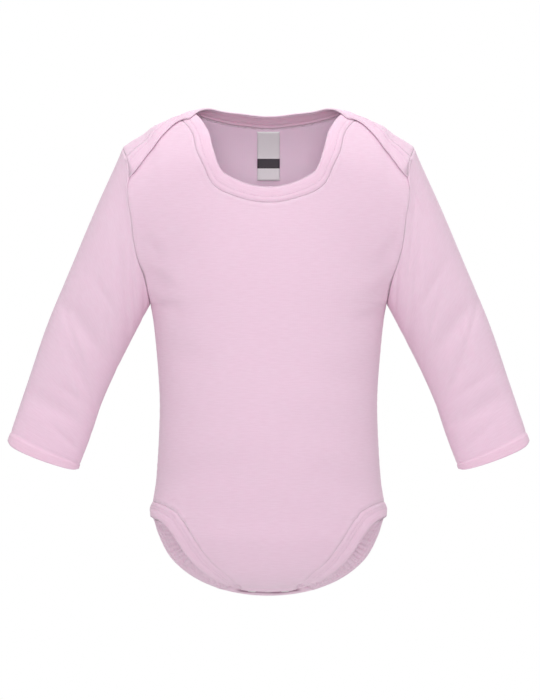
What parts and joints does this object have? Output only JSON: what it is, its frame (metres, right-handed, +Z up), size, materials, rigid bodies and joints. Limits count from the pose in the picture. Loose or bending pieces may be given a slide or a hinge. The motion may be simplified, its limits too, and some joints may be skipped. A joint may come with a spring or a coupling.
{
  "type": "baby bodysuit",
  "caption": "Long-sleeved baby bodysuit with envelope shoulders, bound neck and leg openings and a fastened crotch, filled out as when worn.",
  "frame": {"origin": "On the mid-line between the two shoulders, where the wearer's shoulders hold it up; the shoulders' highest points are 10 mm above it", "axes": "+Z up along the wearer's spine, -Y towards the garment's front, +X towards the wearer's left sleeve"},
  "size_m": [0.44, 0.1263, 0.4107],
  "materials": {
    "jersey": "matte",
    "binding": "matte",
    "label": "satin",
    "stud": "satin"
  },
  "bodies": {
    "root": {"front_panel": "jersey", "back_panel": "jersey", "sleeve_right": "jersey", "sleeve_left": "jersey", "neck_binding_front": "binding", "neck_binding_back": "binding", "leg_binding_right": "binding", "leg_binding_left": "binding", "neck_label": "label", "press_stud_cap_1": "stud", "press_stud_cap_2": "stud", "press_stud_cap_3": "stud", "press_stud_back_1": "stud", "press_stud_back_2": "stud", "press_stud_back_3": "stud"}
  },
  "joints": []
}
